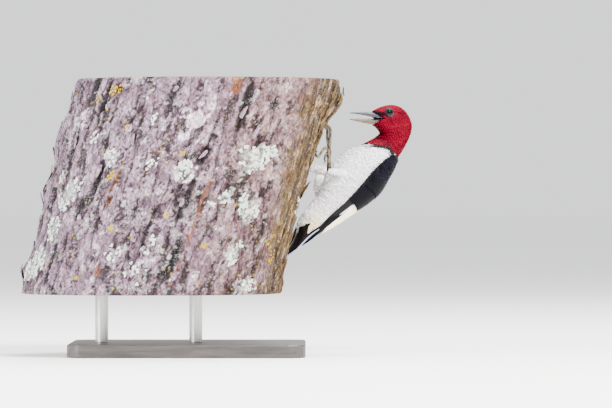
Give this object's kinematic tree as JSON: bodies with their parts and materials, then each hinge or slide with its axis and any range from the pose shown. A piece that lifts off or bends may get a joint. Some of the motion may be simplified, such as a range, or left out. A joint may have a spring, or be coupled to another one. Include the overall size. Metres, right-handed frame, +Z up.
{
  "type": "woodpecker",
  "caption": "Still life-size model of an adult red-headed woodpecker clinging head-up to a short cut length of leaning lichened trunk, held on a plain stand.",
  "frame": {"origin": "centre of the stand base's underside, on the floor", "axes": "+Z up; +X the way the trunk leans, towards the bird's side of it; the bird's head points towards -X, turned 24 degrees towards -Y"},
  "size_m": [0.4141, 0.2667, 0.293],
  "materials": {
    "plumage_red": "soft crimson feathers",
    "plumage_white": "soft white feathers, cream on the flanks and under the tail",
    "plumage_black": "satin blue-black feathers",
    "bill_horn": "satin bluish-grey horn",
    "tongue_pink": "moist",
    "eye": "glossy dark brown",
    "leg_scale": "matte grey scales",
    "claw": "satin dark horn",
    "bark": "rough flaking bark with pale lichen",
    "stand_wood": "satin black stain",
    "stand_metal": "brushed"
  },
  "bodies": {
    "root": {"head": "plumage_red", "neck": "plumage_red", "torso": "plumage_white", "tail": "plumage_black", "wing_left": "plumage_black", "wing_right": "plumage_black", "thigh_left": "plumage_white", "thigh_right": "plumage_white", "bill_upper": "bill_horn", "bill_lower": "bill_horn", "tongue": "tongue_pink", "eye_left": "eye", "eye_right": "eye", "foot_left": "leg_scale", "foot_right": "leg_scale", "claw_inner_toe_left": "claw", "claw_middle_toe_left": "claw", "claw_outer_toe_left": "claw", "claw_hind_toe_left": "claw", "claw_inner_toe_right": "claw", "claw_middle_toe_right": "claw", "claw_outer_toe_right": "claw", "claw_hind_toe_right": "claw", "perch_trunk": "bark", "stand_base": "stand_wood", "stand_rod_1": "stand_metal", "stand_rod_2": "stand_metal"}
  },
  "joints": []
}
